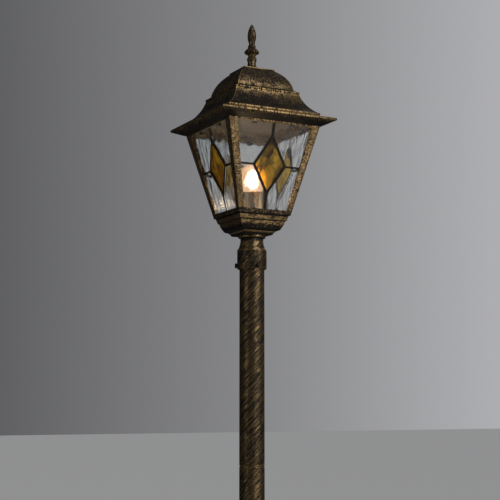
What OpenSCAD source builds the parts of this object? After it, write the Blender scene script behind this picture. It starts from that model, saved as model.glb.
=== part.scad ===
// Lantern floor lamp: a square leaded-glass lantern on a three-piece round post with a bell foot.
// Millimetres, +Z up, origin on the floor at the post axis. The front of the lantern faces -Y.

/* [Foot] */
// Diameter of the foot where it stands on the ground
base_d = 168; // [140:1:210]
// Height of the shoulder that the foot tube stands on
base_seat_h = 50; // [40:1:64]
// Height of the foot's collar above that shoulder
base_socket_h = 20; // [12:1:30]
// Width of the flat flange of the foot
flange_w = 16; // [13:0.5:20]
// Thickness of the flat flange of the foot
flange_t = 6; // [4:0.5:9]
// Wall of the bell
base_wall = 3; // [2:0.5:4]
// Diameter of an anchor hole
anchor_d = 6.5; // [4:0.5:8]
// Number of anchor holes
anchor_count = 3; // [3:1:6]

/* [Post] */
// Outer diameter of the post tubes
post_d = 36; // [30:1:43]
// Wall of the post tubes
post_wall = 1.8; // [1.2:0.1:2.6]
// Length of the middle and upper tubes
tube_l = 300; // [180:1:400]
// Length of the foot tube
foot_tube_l = 194; // [120:1:300]
// Height of the ring that shows between two tubes
ring_h = 7; // [5:0.5:10]
// Depth of a coupler spigot inside a tube
spigot_l = 25; // [15:1:35]

/* [Collar] */
// Wall of the collar round the upper tube
collar_wall = 3.3; // [2.6:0.1:5]
// Height of the collar and neck casting
collar_h = 49; // [44:1:60]
// Depth of the upper tube inside the collar
collar_socket = 24; // [18:1:28]
// Height of the clamping screws above the lower edge of the collar
collar_screw_h = 5.5; // [5:0.5:10]
// Diameter of a clamping screw
collar_screw_d = 5; // [4:0.5:6]

/* [Cup] */
// Width of the cup at its foot
cup_foot_w = 44; // [42:1:52]
// Height of the stepped cup below the lantern body
cup_h = 27; // [24:0.5:34]
// Wall of the cup
cup_wall = 2.5; // [2:0.25:3]

/* [Lantern body] */
// Width of the body at its lower edge
cage_bottom_w = 82.6; // [78:0.2:90]
// Width of the body at its upper edge
cage_top_w = 145.6; // [125:0.2:175]
// Height of the sloping sides
cage_h = 128; // [107:1:154]
// Thickness of the body casting, measured level
skin_t = 2.6; // [2:0.1:3.2]
// Width of a corner post on each face at the top
post_flange_top = 12.9; // [10:0.1:15]
// Width of a corner post on each face at the bottom
post_flange_bottom = 8.3; // [7:0.1:10]
// Height of the sill below the glass
sill_h = 6.4; // [5.5:0.1:9]
// Height of the lintel above the glass
lintel_h = 2.7; // [2.4:0.1:6]
// Height of the upright band that the roof fits over
band_h = 8; // [7:0.5:10]

/* [Glazing] */
// Thickness of the glass
glass_t = 3; // [2:0.25:3.5]
// Width of a lead came over the glass
came_w = 2.8; // [2.2:0.1:4]
// Thickness of a came's flange on each side of the glass
came_flange_t = 0.7; // [0.4:0.1:1]
// Width of the core of a came between two glass edges
came_core = 1.2; // [0.8:0.1:1.6]
// Width of the diamond
diamond_w = 49.4; // [36:0.2:58]
// Distance from the top of the glass down to the diamond
diamond_drop = 18; // [14:0.2:26]
// Height of the diamond above its side corners
diamond_upper = 40.2; // [30:0.1:42]
// Height of the diamond below its side corners
diamond_lower = 38; // [28:0.1:42]

/* [Roof] */
// Overhang of the eaves beyond the body
eave_overhang = 18; // [14:0.1:24]
// Thickness of the eave at its rim
rim_t = 3.5; // [3:0.1:5]
// Height of the hidden slope under the eave
soffit_h = 7; // [5:0.5:7]
// Rise of the flat upper side of the eave
eave_rise = 5.5; // [4:0.5:8]
// Height of the bead above the eave
bead_h = 3.5; // [2:0.5:5]
// Width of the ledge beyond the foot of the dome
ledge_lip = 6; // [4:0.5:9]
// Height of the concave flare
flare_h = 30; // [25:0.5:36]
// Width of the dome at its foot
dome_w = 91; // [80:1:94]
// Height of the dome
dome_h = 32.2; // [27:0.2:38]
// Width of the flat top of the dome and of the cap plate on it
cap_w = 49.2; // [40:0.2:58]
// Thickness of the cap plate
cap_t = 2.3; // [1.5:0.1:4]
// Wall of the roof casting
roof_wall = 2.4; // [2:0.1:3]

/* [Finial] */
// Height of the finial
finial_h = 72; // [60:1:86]
// Diameter of the disc of the finial
finial_d = 22; // [18:0.5:26]
// Diameter of the stud that carries the finial
stud_d = 6; // [5:0.5:7]

/* [Lamp] */
// Outer diameter of the lampholder
holder_d = 42; // [38:0.5:43]
// Height of the lampholder
holder_h = 54.4; // [50:0.2:60]
// Diameter of the bulb
bulb_d = 45; // [38:1:50]
// Diameter of the screw cap of the bulb
bulb_cap_d = 26.2; // [26:0.1:26.4]
// Overall length of the bulb
bulb_l = 75; // [70:1:88]

/* [Fits] */
// Radial running clearance of screws, studs and the collar on the post
run_gap = 0.08; // [0.05:0.01:0.1]
// Clearance between pieces that move apart
move_gap = 0.4; // [0.3:0.05:0.6]
// Clearance between pieces that are assembled and stay
seat_gap = 0.1; // [0.05:0.05:0.2]

/* [Hidden] */

// Segments of a curved moulding, and the overlap that clears a cut's faces
arc_n = 9;
eps = 0.5;
$fn = 96;

// Levels, counted up from the floor
lower_ring_z = base_seat_h + foot_tube_l;
upper_ring_z = lower_ring_z + ring_h + tube_l;
post_top_z = upper_ring_z + ring_h + tube_l;
collar_z = post_top_z - collar_socket;
cup_z = collar_z + collar_h;
cage_z = cup_z + cup_h;
cage_top_z = cage_z + cage_h;
band_z = cage_top_z + band_h;
rim_z = cage_top_z + soffit_h;
eave_top_z = rim_z + rim_t + eave_rise;
bead_top_z = eave_top_z + bead_h;
ledge_z = bead_top_z + flare_h;
ledge_t = 3;
dome_z = ledge_z + ledge_t + 2.7;
dome_top_z = dome_z + dome_h;
finial_z = dome_top_z + cap_t;
echo(total_height = finial_z + finial_h);

// ---------------------------------------------------------------- outlines

// Points of an arc from a to b that stands proud of the chord by bulge, to the right of the way
function arc(a, b, bulge) =
    let (c = norm(b - a), r = (c * c / 4 + bulge * bulge) / (2 * abs(bulge)), s = sign(bulge),
        u = (b - a) / c, right = [u.y, -u.x], o = (a + b) / 2 - s * right * (r - abs(bulge)),
        half = asin(c / (2 * r)), mid = atan2(s * right.y, s * right.x))
    [for (i = [0 : arc_n]) o + r * [cos(mid - s * half + s * 2 * half * i / arc_n),
        sin(mid - s * half + s * 2 * half * i / arc_n)]];

function mirrored(side) = [for (i = [len(side) - 1 : -1 : 0]) [-side[i].x, side[i].y]];

// A solid that is square in plan, with its half width at each level given by the side's points
module square_moulding(side) {
    reach = 2 * max([for (p = side) p.x]) + 2 * eps;
    outline = concat(side, mirrored(side));
    intersection() {
        rotate([90, 0, 0]) linear_extrude(reach, center = true) polygon(outline);
        rotate([90, 0, 90]) linear_extrude(reach, center = true) polygon(outline);
    }
}

// A turned solid, closed to the axis at the first and last points of its side
module turned(side) {
    rotate_extrude() polygon(concat([[0, side[0].y]], side, [[0, side[len(side) - 1].y]]));
}

module ring(d_out, d_in, h) {
    difference() {
        cylinder(h = h, d = d_out);
        translate([0, 0, -eps]) cylinder(h = h + 2 * eps, d = d_in);
    }
}

module at_faces(faces = [0 : 3]) {
    for (k = faces) rotate([0, 0, 90 * k]) children();
}

// ---------------------------------------------------------------- foot

base_h = base_seat_h + base_socket_h;
base_collar_r = post_d / 2 + 6.5;
socket_low_z = base_seat_h - 28;
passage_r = post_d / 2 - 4;
step_r = base_d / 2 - flange_w;
bell_top = [base_collar_r + 15, base_seat_h - 14];

function bell_outside() = concat(
    [[base_d / 2, 0], [base_d / 2, flange_t - 2], [base_d / 2 - 1, flange_t - 0.6],
        [base_d / 2 - 2.5, flange_t]],
    [[step_r, flange_t], [step_r, flange_t + 4]],
    arc([step_r - 2.5, flange_t + 6.5], bell_top, -6),
    arc([bell_top.x - 2, bell_top.y + 1], [bell_top.x - 2, bell_top.y + 5], 1.6),
    arc([bell_top.x - 3, bell_top.y + 5.5], [base_collar_r, base_seat_h - 2], 1.5),
    [[base_collar_r, base_h - 3], [base_collar_r - 1.2, base_h - 1], [base_collar_r - 3, base_h]]);

function bell_inside() = concat(
    [[step_r - base_wall, -eps], [step_r - base_wall, flange_t + 2]],
    arc([step_r - 2.5 - base_wall, flange_t + 3.5], [bell_top.x - 2, bell_top.y - base_wall], -6),
    [[base_collar_r + 1, bell_top.y - base_wall + 1]]);

boss_z = 12;
boss_r = 5.5;
boss_y = (base_collar_r + step_r) / 2 - 6.25;

module base_bell() {
    color("#3b2f22") difference() {
        union() {
            difference() {
                turned(bell_outside());
                turned(bell_inside());
            }
            translate([0, 0, socket_low_z]) cylinder(h = base_seat_h - socket_low_z, r = base_collar_r - 1);
            intersection() {
                turned(bell_outside());
                for (y = [-boss_y, boss_y]) translate([0, y, boss_z]) cylinder(h = 24, r = boss_r);
            }
        }
        translate([0, 0, base_seat_h]) cylinder(h = base_h, d = post_d + 2 * seat_gap);
        cylinder(h = base_h, r = passage_r);
        for (i = [0 : anchor_count - 1]) rotate([0, 0, 360 / anchor_count * i + 90]) {
            translate([(base_d - flange_w) / 2, 0, -eps]) cylinder(h = flange_t + 2 * eps, d = anchor_d);
        }
        for (y = [-boss_y, boss_y]) {
            translate([0, y, boss_z - eps]) cylinder(h = 8 + eps, r = terminal_screw_r + seat_gap / 2);
        }
    }
}

terminal_screw_r = 1.5;
block_size = [30, 14, 9];
pole_pitch = 10;
pole_r = 2.4;
sleeve_wall = 0.6;

module terminal_block() {
    color("#e8e4da") difference() {
        translate([-block_size.x / 2, boss_y - block_size.y / 2, boss_z - block_size.z]) cube(block_size);
        for (x = [-pole_pitch, pole_pitch]) {
            translate([x, boss_y, boss_z - 4]) rotate([90, 0, 0]) {
                cylinder(h = block_size.y + 2 * eps, r = pole_r, center = true);
            }
        }
        translate([0, boss_y, boss_z - block_size.z - eps]) {
            cylinder(h = block_size.z + 2 * eps, r = terminal_screw_r + seat_gap);
        }
        for (x = [-pole_pitch / 2, pole_pitch / 2]) {
            translate([x - 0.6, boss_y - block_size.y, boss_z - block_size.z - eps]) {
                cube([1.2, 2 * block_size.y, 4]);
            }
        }
    }
}

module terminal_sleeves() {
    color("#b8923c") for (x = [-pole_pitch, pole_pitch]) {
        translate([x, boss_y + block_size.y / 2 - 1, boss_z - 4]) rotate([90, 0, 0]) {
            ring(2 * (pole_r - seat_gap / 2), 2 * (pole_r - sleeve_wall), block_size.y - 2);
        }
    }
}

module terminal_screw() {
    head_z = boss_z - block_size.z - 2;
    color("#a8a8a8") {
        translate([0, boss_y, head_z]) cylinder(h = 2, r = 2.8);
        translate([0, boss_y, head_z + 2]) cylinder(h = block_size.z + 5, r = terminal_screw_r);
    }
}

module earth_terminal() {
    color("#b8923c") {
        translate([0, -boss_y, boss_z]) cylinder(h = 7, r = terminal_screw_r);
        translate([0, -boss_y, boss_z - 1]) cylinder(h = 1, r = 4.5);
        translate([0, -boss_y, boss_z - 4]) cylinder(h = 3, r = 3.6, $fn = 6);
    }
}

// ---------------------------------------------------------------- post

module tube(l) {
    ring(post_d, post_d - 2 * post_wall, l);
}

module foot_tube() {
    color("#4a3b29") translate([0, 0, base_seat_h]) tube(foot_tube_l);
}

module middle_tube() {
    color("#4a3b29") translate([0, 0, lower_ring_z + ring_h]) tube(tube_l);
}

module upper_tube() {
    color("#4a3b29") translate([0, 0, upper_ring_z + ring_h]) tube(tube_l);
}

spigot_wall = 4;

// Two half-round beads with a groove between them, on a spigot that fits into both tubes
module coupler() {
    r = post_d / 2;
    bead = ring_h * 0.42;
    spigot_r = r - post_wall - seat_gap / 2;
    difference() {
        turned(concat(
            [[spigot_r - 1, -spigot_l], [spigot_r, 1 - spigot_l], [spigot_r, 0], [r - 0.8, 0],
                [r - 0.8, 0.4]],
            arc([r - 0.6, 0.5], [r - 0.6, bead], 0.8),
            [[r - 1, bead + 0.1], [r - 1, ring_h - bead - 0.1]],
            arc([r - 0.6, ring_h - bead], [r - 0.6, ring_h - 0.5], 0.8),
            [[r - 0.8, ring_h - 0.4], [r - 0.8, ring_h], [spigot_r, ring_h],
                [spigot_r, ring_h + spigot_l - 1], [spigot_r - 1, ring_h + spigot_l]]));
        translate([0, 0, -spigot_l - eps]) {
            cylinder(h = ring_h + 2 * spigot_l + 2 * eps, r = spigot_r - spigot_wall);
        }
    }
}

module lower_coupler() {
    color("#6b5435") translate([0, 0, lower_ring_z]) coupler();
}

module upper_coupler() {
    color("#6b5435") translate([0, 0, upper_ring_z]) coupler();
}

// ---------------------------------------------------------------- collar and its screws

collar_angles = [-90, 30, 150];
collar_d = post_d + 2 * collar_wall;
collar_bore_r = post_d / 2 + run_gap;
neck_ring_r = cup_foot_w / 2 - 2;
neck_ring_h = 3.8;
neck_r = neck_ring_r - 3.5;
throat_r = neck_r - 3;
web_t = 7;
nipple_r = 5;
screw_head_r = 3.7;
screw_head_h = 3;

module radial(angle, z) {
    translate([0, 0, z]) rotate([0, 0, angle]) rotate([0, 90, 0]) children();
}

module post_collar() {
    r = collar_d / 2;
    color("#3d3123") translate([0, 0, collar_z]) difference() {
        turned(concat(
            [[r - 1.2, 0], [r - 0.2, 1.2], [r, 3], [r, collar_h - 24]],
            arc([r, collar_h - 24], [r - 0.8, collar_h - 20], 0.4),
            arc([r - 1.6, collar_h - 19.6], [neck_r, collar_h - neck_ring_h - 0.6], -0.8),
            arc([neck_ring_r - 1.2, collar_h - neck_ring_h], [neck_ring_r, collar_h - 1.5], 0.5),
            [[neck_ring_r, collar_h]]));
        translate([0, 0, -eps]) cylinder(h = collar_socket + run_gap * 4 + eps, r = collar_bore_r);
        cylinder(h = collar_h - web_t, r = throat_r);
        cylinder(h = collar_h + eps, r = nipple_r + seat_gap);
        for (a = collar_angles) radial(a, collar_screw_h) {
            cylinder(h = collar_d, d = collar_screw_d + 2 * run_gap);
        }
    }
}

// A clamping screw with a slotted head; its tip stops just short of the tube
module collar_screw(angle) {
    tip = post_d / 2 + 0.3;
    seat = collar_d / 2 + 0.3;
    color("#8a6a36") radial(angle, collar_z + collar_screw_h) difference() {
        union() {
            translate([0, 0, tip]) cylinder(h = seat - tip, d = collar_screw_d);
            translate([0, 0, seat]) cylinder(h = screw_head_h * 0.6, r = screw_head_r);
            translate([0, 0, seat + screw_head_h * 0.6]) {
                cylinder(h = screw_head_h * 0.4, r1 = screw_head_r, r2 = screw_head_r - 0.9);
            }
        }
        translate([-screw_head_r - eps, -0.6, seat + screw_head_h - 1.2]) {
            cube([2 * screw_head_r + 2 * eps, 1.2, 2]);
        }
    }
}

module collar_screw_front() {
    collar_screw(collar_angles[0]);
}

module collar_screw_right() {
    collar_screw(collar_angles[1]);
}

module collar_screw_left() {
    collar_screw(collar_angles[2]);
}

// ---------------------------------------------------------------- nipple that clamps the stack

nipple_bore_r = 3.5;
nut_h = 5;
nut_r = 9.2;
cup_floor_t = 3;
washer_t = 1;
nipple_z = cup_z - web_t - washer_t - nut_h - 2;
holder_z = cup_z + cup_floor_t + nut_h;
holder_thread_l = 9;

module nipple() {
    color("#b8923c") translate([0, 0, nipple_z]) {
        ring(2 * nipple_r, 2 * nipple_bore_r, holder_z + holder_thread_l - nipple_z);
    }
}

module nipple_washer() {
    color("#a8a8a8") translate([0, 0, cup_z - web_t - washer_t]) {
        ring(20, 2 * (nipple_r + seat_gap), washer_t);
    }
}

module nipple_nut() {
    color("#a8a8a8") difference() {
        cylinder(h = nut_h, r = nut_r, $fn = 6);
        translate([0, 0, -eps]) cylinder(h = nut_h + 2 * eps, r = nipple_r + seat_gap / 2);
    }
}

module nipple_nut_lower() {
    translate([0, 0, cup_z - web_t - washer_t - nut_h]) nipple_nut();
}

module nipple_nut_upper() {
    translate([0, 0, cup_z + cup_floor_t]) nipple_nut();
}

// ---------------------------------------------------------------- cup

cup_inset = 2.2;
rim_half = cage_bottom_w / 2 - cup_inset;
cup_foot_half = cup_foot_w / 2;
cup_boss_r = 4;
small_screw_r = 1.5;
screw_inset = rim_half - cup_wall - cup_boss_r - 2;
cup_steps = (rim_half - cup_foot_half) * [0.206, 0.527, 0.54, 0.776, 0.89];

function cup_side(off) = let (foot = cup_foot_half - off) concat(
    arc([foot, cup_z], [foot + cup_steps[0], cup_z + 4.3], -0.5),
    arc([foot + cup_steps[0], cup_z + 5], [foot + cup_steps[1], cup_z + 7.6], 0.5),
    arc([foot + cup_steps[2], cup_z + 9], [foot + cup_steps[3], cup_z + cup_h - 8.5], 0.7),
    [[foot + cup_steps[4], cup_z + cup_h - 7.4], [rim_half - off, cup_z + cup_h - 1],
        [rim_half - off, cup_z + cup_h]]);

module cup() {
    color("#4a3a26") difference() {
        union() {
            difference() {
                square_moulding(cup_side(0));
                intersection() {
                    translate([0, 0, cup_floor_t]) square_moulding(cup_side(cup_wall));
                    translate([0, 0, cup_z + cage_h / 2]) cube(cage_h, center = true);
                }
                translate([-rim_half + cup_wall, -rim_half + cup_wall, cup_z + cup_h - 4]) {
                    cube([2 * (rim_half - cup_wall), 2 * (rim_half - cup_wall), 4 + eps]);
                }
            }
            intersection() {
                square_moulding(cup_side(0));
                at_faces() translate([screw_inset, screw_inset, cup_z + cup_h - 14]) {
                    cylinder(h = 14, r = cup_boss_r);
                }
            }
        }
        cylinder(h = 2 * cup_z, r = nipple_r + seat_gap);
        at_faces() translate([screw_inset, screw_inset, cup_z + cup_h - 10]) {
            cylinder(h = 10 + eps, r = small_screw_r + seat_gap / 2);
        }
    }
}

// ---------------------------------------------------------------- lantern body

cage_bottom_half = cage_bottom_w / 2;
cage_top_half = cage_top_w / 2;
slope = (cage_top_half - cage_bottom_half) / cage_h;
tilt = atan(slope);
floor_t = 2.5;
plate_t = 1;
floor_hole_r = holder_d / 2 + 5;
flange_z = cage_top_z + 2;
top_flange_t = 2.5;
top_flange_half = cage_top_half - 11;
band_wall = 3;
window_low_z = cage_z + sill_h;
window_high_z = cage_top_z - lintel_h;

function outer_half(z) = cage_bottom_half + slope * (z - cage_z);
function inner_half(z) = outer_half(z) - skin_t;
function window_half(z) = let (
    low = outer_half(window_low_z) - post_flange_bottom,
    high = outer_half(window_high_z) - post_flange_top)
    low + (high - low) * (z - window_low_z) / (window_high_z - window_low_z);

module window_cut() {
    reach = 4 * cage_top_half;
    outline = [[-window_half(window_low_z), window_low_z], [window_half(window_low_z), window_low_z],
        [window_half(window_high_z), window_high_z], [-window_half(window_high_z), window_high_z]];
    rotate([90, 0, 0]) linear_extrude(reach, center = true) polygon(outline);
    rotate([90, 0, 90]) linear_extrude(reach, center = true) polygon(outline);
}

module cage_frame() {
    color("#7a5c33") difference() {
        square_moulding([[cage_bottom_half, cage_z], [cage_top_half, cage_top_z], [cage_top_half, band_z]]);
        square_moulding([[inner_half(cage_z + floor_t), cage_z + floor_t],
            [inner_half(cage_top_z), cage_top_z], [inner_half(cage_top_z), flange_z],
            [top_flange_half, flange_z], [top_flange_half, flange_z + top_flange_t],
            [cage_top_half - band_wall, flange_z + top_flange_t],
            [cage_top_half - band_wall, band_z + eps]]);
        translate([0, 0, cage_z - eps]) cylinder(h = floor_t + 2 * eps, r = floor_hole_r);
        window_cut();
        at_faces() translate([screw_inset, screw_inset, cage_z - eps]) {
            cylinder(h = floor_t + 2 * eps, r = small_screw_r + seat_gap);
        }
        clip_holes();
    }
}

// A square plate that closes the floor round the lampholder and throws the light up
plate_half = inner_half(cage_z + floor_t) - move_gap;
plate_z = cage_z + floor_t;

module floor_plate() {
    color("#c9c6bd") difference() {
        translate([-plate_half, -plate_half, plate_z]) cube([2 * plate_half, 2 * plate_half, plate_t]);
        cylinder(h = 2 * plate_z, d = holder_d + 2);
        at_faces() translate([screw_inset, screw_inset, plate_z - eps]) {
            cylinder(h = plate_t + 2 * eps, r = small_screw_r + seat_gap);
        }
    }
}

module cage_screws() {
    color("#a8a8a8") at_faces() translate([screw_inset, screw_inset, plate_z + plate_t]) {
        cylinder(h = 1.8, r = 2.6);
        translate([0, 0, -12]) cylinder(h = 12, r = small_screw_r);
    }
}

// ---------------------------------------------------------------- glazing

pane_low_z = plate_z + plate_t + seat_gap;
pane_high_z = cage_top_z - 0.3;
pane_lap = 1.6;
came_t = glass_t + 2 * came_flange_t;
solder_d = came_w * 1.3;

function up(z) = (z - cage_z) / cos(tilt);
diamond_top = [0, up(window_high_z - diamond_drop)];
diamond_side = [diamond_w / 2, up(window_high_z - diamond_drop - diamond_upper)];
diamond_bottom = [0, up(window_high_z - diamond_drop - diamond_upper - diamond_lower)];

// The plane of the glass on one face: x across, y up the slope, z outwards from the outer side of the glass
module on_face(k) {
    rotate([0, 0, 90 * k]) translate([0, -inner_half(cage_z) + seat_gap, cage_z]) {
        rotate([90 + tilt, 0, 0]) children();
    }
}

function pane_corner(z, lap) = [window_half(z) + lap, up(z)];
pane_low = pane_corner(pane_low_z, pane_lap);
pane_high = pane_corner(pane_high_z, pane_lap);
side_x = pane_low.x + (pane_high.x - pane_low.x) * (diamond_side.y - pane_low.y) / (pane_high.y - pane_low.y);

function flip(p) = [-p.x, p.y];
upper_piece = [diamond_top, [0, pane_high.y], pane_high, [side_x, diamond_side.y], diamond_side];
lower_piece = [diamond_side, [side_x, diamond_side.y], pane_low, [0, pane_low.y], diamond_bottom];

module bar(a, b, w) {
    translate(a) rotate(atan2(b.y - a.y, b.x - a.x)) translate([0, -w / 2]) square([norm(b - a), w]);
}

// The lattice of one pane: the four sides of the diamond and the four bars that run to the frame
module lattice(w) {
    left = flip(diamond_side);
    bar(diamond_top, diamond_side, w);
    bar(diamond_side, diamond_bottom, w);
    bar(diamond_bottom, left, w);
    bar(left, diamond_top, w);
    bar(diamond_top, [0, pane_high.y + came_w], w);
    bar(diamond_bottom, [0, pane_low.y - came_w], w);
    bar(diamond_side, [side_x + came_w, diamond_side.y], w);
    bar(left, [-side_x - came_w, diamond_side.y], w);
    corner_dots(w);
}

module corner_dots(d) {
    for (p = [diamond_top, diamond_side, diamond_bottom, flip(diamond_side)]) {
        translate(p) circle(d = d, $fn = 24);
    }
}

module glass_piece(outline) {
    translate([0, 0, -glass_t]) linear_extrude(glass_t) difference() {
        polygon(outline);
        lattice(came_core + seat_gap);
    }
}

module clear_glass(k) {
    color("#c8d4d2", 0.45) on_face(k) {
        glass_piece(upper_piece);
        mirror([1, 0, 0]) glass_piece(upper_piece);
        glass_piece(lower_piece);
        mirror([1, 0, 0]) glass_piece(lower_piece);
    }
}

module amber_diamond(k) {
    color("#c98a1e", 0.7) on_face(k) {
        glass_piece([diamond_top, diamond_side, diamond_bottom, flip(diamond_side)]);
    }
}

// H-section cames: a core between the glass edges and a flange on each side, soldered at the corners
module came(k) {
    edge = 0.3;
    low = pane_corner(window_low_z + edge, -edge);
    high = pane_corner(window_high_z - edge, -edge);
    back = -glass_t - came_flange_t;
    color("#1c1712") on_face(k) intersection() {
        translate([0, 0, back]) linear_extrude(came_t) polygon([low, high, flip(high), flip(low)]);
        difference() {
            translate([0, 0, back]) linear_extrude(came_t) {
                lattice(came_w);
                corner_dots(solder_d);
            }
            translate([0, 0, -glass_t - seat_gap / 2]) linear_extrude(glass_t + seat_gap) difference() {
                polygon([flip(pane_low), pane_low, pane_high, flip(pane_high)]);
                lattice(came_core);
            }
        }
    }
}

module clear_glass_front() {
    clear_glass(0);
}

module clear_glass_right() {
    clear_glass(1);
}

module clear_glass_back() {
    clear_glass(2);
}

module clear_glass_left() {
    clear_glass(3);
}

module amber_diamond_front() {
    amber_diamond(0);
}

module amber_diamond_right() {
    amber_diamond(1);
}

module amber_diamond_back() {
    amber_diamond(2);
}

module amber_diamond_left() {
    amber_diamond(3);
}

module came_front() {
    came(0);
}

module came_right() {
    came(1);
}

module came_back() {
    came(2);
}

module came_left() {
    came(3);
}

// Bent tabs below the top flange that hold the panes against the body
clip_x = 30;
clip_w = 8;
clip_t = 0.8;
clip_screw_r = 1.2;
clip_out = outer_half(flange_z) - skin_t - glass_t / cos(tilt) - 0.5;
clip_in = top_flange_half + 0.4;
clip_screw_y = -(clip_in + 1.9);

module clip_places() {
    at_faces() for (x = [-clip_x, clip_x]) translate([x, 0, 0]) children();
}

module pane_clips() {
    back_w = glass_t + 0.2;
    leg_low = up(window_high_z - 3);
    leg_high = up(flange_z) - (back_w + clip_t) * tan(tilt);
    color("#6f6a60") clip_places() difference() {
        union() {
            translate([-clip_w / 2, -clip_out, flange_z - clip_t]) cube([clip_w, clip_out - clip_in, clip_t]);
            translate([0, -inner_half(cage_z) + seat_gap, cage_z]) rotate([90 + tilt, 0, 0]) {
                translate([-clip_w / 2, leg_low, -back_w - clip_t]) {
                    cube([clip_w, leg_high - leg_low, clip_t]);
                }
            }
        }
        translate([0, clip_screw_y, flange_z - 3]) cylinder(h = 4, r = clip_screw_r + seat_gap / 2);
    }
}

module clip_holes() {
    clip_places() translate([0, clip_screw_y, flange_z - eps]) {
        cylinder(h = top_flange_t + 2 * eps, r = clip_screw_r + seat_gap / 2);
    }
}

module clip_screws() {
    color("#a8a8a8") clip_places() translate([0, clip_screw_y, flange_z - clip_t]) {
        cylinder(h = clip_t + top_flange_t, r = clip_screw_r);
        translate([0, 0, -1.2]) cylinder(h = 1.2, r = 1.8);
    }
}

// ---------------------------------------------------------------- lampholder

shell_r = bulb_cap_d / 2 + move_gap;
shell_t = 0.6;
holder_floor = 18;

module lampholder_body() {
    r = holder_d / 2;
    color("#8d8478") translate([0, 0, holder_z]) difference() {
        turned(concat(
            [[13, 0], [14.5, 1.5], [14.5, 6]],
            arc([15.5, 7], [r, 12], 1.4),
            [[r, holder_h - 1.5], [r - 1.5, holder_h]]));
        translate([0, 0, holder_floor]) cylinder(h = holder_h, r = shell_r + shell_t + seat_gap);
        translate([0, 0, -eps]) cylinder(h = holder_thread_l + eps, r = nipple_r + seat_gap / 2);
        for (x = [-8, 8]) translate([x, 0, -eps]) cylinder(h = holder_floor + 2 * eps, r = 1.6);
        translate([-contact_w / 2 - seat_gap, -7, holder_floor - 1]) {
            cube([contact_w + 2 * seat_gap, 14, 1 + eps]);
        }
    }
}

shell_low = 5;
module lampholder_shell() {
    color("#b8923c") translate([0, 0, holder_z + holder_floor]) difference() {
        union() {
            cylinder(h = holder_h - holder_floor - 3, r = shell_r + shell_t);
            translate([0, 0, holder_h - holder_floor - 3]) ring(2 * (shell_r + shell_t), 2 * shell_r, 1.5);
        }
        translate([0, 0, shell_low - eps]) cylinder(h = holder_h, r = shell_r);
        translate([0, 0, -eps]) cylinder(h = holder_h, r = 9);
    }
}

contact_w = 6;
bulb_z = holder_z + holder_floor + 5;

// A sprung brass tab: a foot in the floor of the holder and a tongue bent up under the bulb
module contact_spring() {
    rise = bulb_z - 0.4 - (holder_z + holder_floor);
    color("#b8923c") translate([-contact_w / 2, 0, holder_z + holder_floor - 1]) {
        rotate([90, 0, 90]) linear_extrude(contact_w) polygon([[-6.5, 0], [6.5, 0], [6.5, 0.6], [-5.2, 0.6],
            [-5.2, 1], [1.5, rise + 0.4], [5, rise + 0.4], [5, rise + 1], [1.2, rise + 1], [-6.5, 1.6]]);
    }
}

// ---------------------------------------------------------------- bulb

envelope_t = 0.8;
cap_h = 27;
bulb_r = bulb_d / 2;
globe_z = bulb_z + bulb_l - bulb_r;
neck_glass_r = bulb_cap_d / 2 - 0.6;
neck_z = bulb_z + cap_h + 3;

// The outline of the glass: a neck, a sweep outwards and the globe
function envelope_side(off) = let (join = -38, r = bulb_r - off)
    concat([[neck_glass_r - off, neck_z - 12]],
        arc([neck_glass_r - off, neck_z], [r * cos(join), globe_z + r * sin(join)], -1),
        [for (a = [join + 6 : 8 : 90]) [r * cos(a), globe_z + r * sin(a)]]);

module bulb_envelope() {
    color("#fff1cf", 0.5) difference() {
        turned(concat(envelope_side(0), [[0.01, globe_z + bulb_r]]));
        turned(concat([[neck_glass_r - envelope_t, neck_z - 13]], envelope_side(envelope_t),
            [[0.01, globe_z + bulb_r - envelope_t]]));
    }
}

module bulb_cap() {
    r = bulb_cap_d / 2;
    color("#c4c0b4") translate([0, 0, bulb_z]) difference() {
        turned([[9, 3.5], [r, 7], [r, cap_h]]);
        translate([0, 0, 8]) cylinder(h = cap_h, r = neck_glass_r + seat_gap);
        cylinder(h = 9, r = 4);
    }
}

module bulb_contact() {
    color("#26221f") translate([0, 0, bulb_z]) {
        cylinder(h = 1, r = 3.2);
        translate([0, 0, 1]) cylinder(h = 2.5, r = 7);
        translate([0, 0, 3.5]) cylinder(h = 4, r = 3.9);
    }
}

stem_top_z = globe_z - 13;

module bulb_stem() {
    color("#e8f0ee", 0.6) {
        translate([0, 0, neck_z - 12]) cylinder(h = 2, r = neck_glass_r - envelope_t - seat_gap / 2);
        translate([0, 0, neck_z - 10]) cylinder(h = 4, r1 = 8, r2 = 3.4);
        translate([0, 0, neck_z - 6]) cylinder(h = stem_top_z - neck_z + 6, r = 3.4);
    }
}

capsule_r = 9.5;
capsule_l = 29;

// The light source: a drop with a pinched foot on the stem and a narrow nose
module bulb_capsule() {
    color("#fff6dd") translate([0, 0, stem_top_z]) turned(concat(
        [[3.2, 0]],
        arc([3.6, 1], [capsule_r, capsule_l * 0.36], 2),
        arc([capsule_r, capsule_l * 0.4], [1, capsule_l], 1.6)));
}

// ---------------------------------------------------------------- roof

bead_half = cage_top_half + 0.3;
rim_half_w = cage_top_half + eave_overhang;
skirt_half = cage_top_half + 1.9;
roof_bore_half = cage_top_half + move_gap;
dome_half = dome_w / 2;
ledge_half = dome_half + ledge_lip;
cap_half = cap_w / 2;
flare_bulge = -3.1;
dome_bulge = 3.9;

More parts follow.
